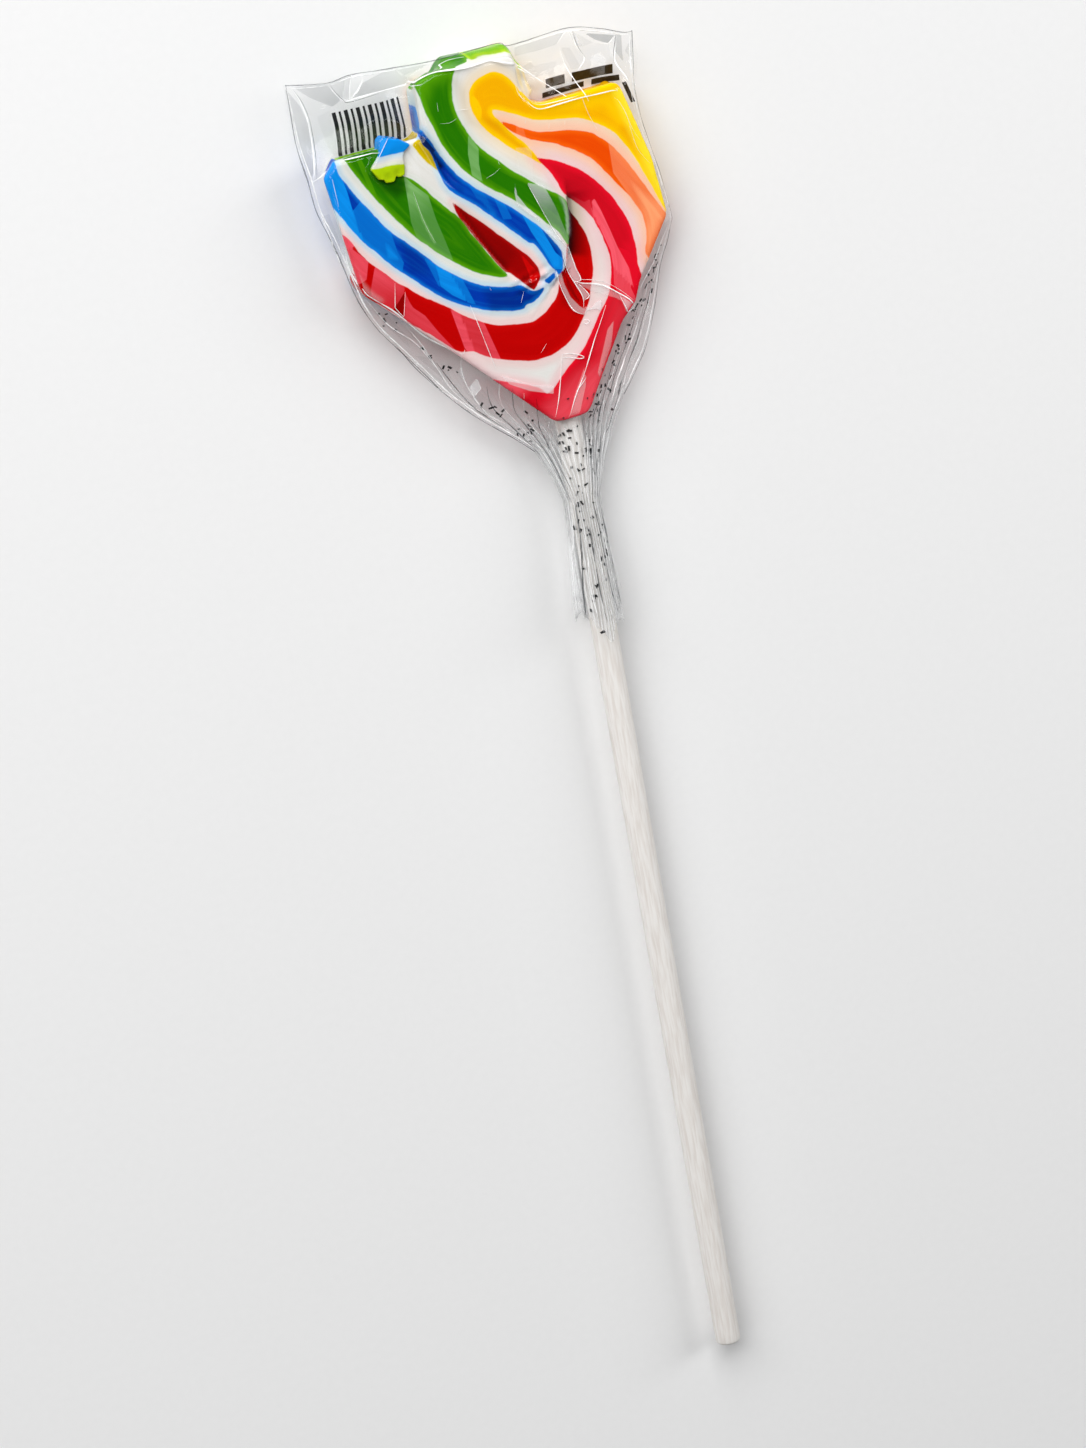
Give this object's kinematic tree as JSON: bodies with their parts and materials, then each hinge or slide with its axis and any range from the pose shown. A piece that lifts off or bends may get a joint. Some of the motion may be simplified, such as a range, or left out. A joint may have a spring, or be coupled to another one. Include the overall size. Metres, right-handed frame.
{
  "type": "dreidel lollipop",
  "caption": "Hard-candy lollipop shaped like a dreidel, pressed from a twisted rainbow rope, on a white paper stick and sealed in a clear film bag; it lies on its back.",
  "frame": {"origin": "middle of the base that the whole lollipop covers as it lies on its back", "axes": "+Z out of the shown face of the candy, +Y from the stick up to the handle of the dreidel, +X to the right of the shown face"},
  "size_m": [0.0548, 0.2134, 0.0083],
  "materials": {
    "candy": "gloss",
    "film": "gloss",
    "print": "satin",
    "stick": "matte"
  },
  "bodies": {
    "root": {"wrapped_candy": "candy", "stick": "stick"}
  },
  "joints": []
}
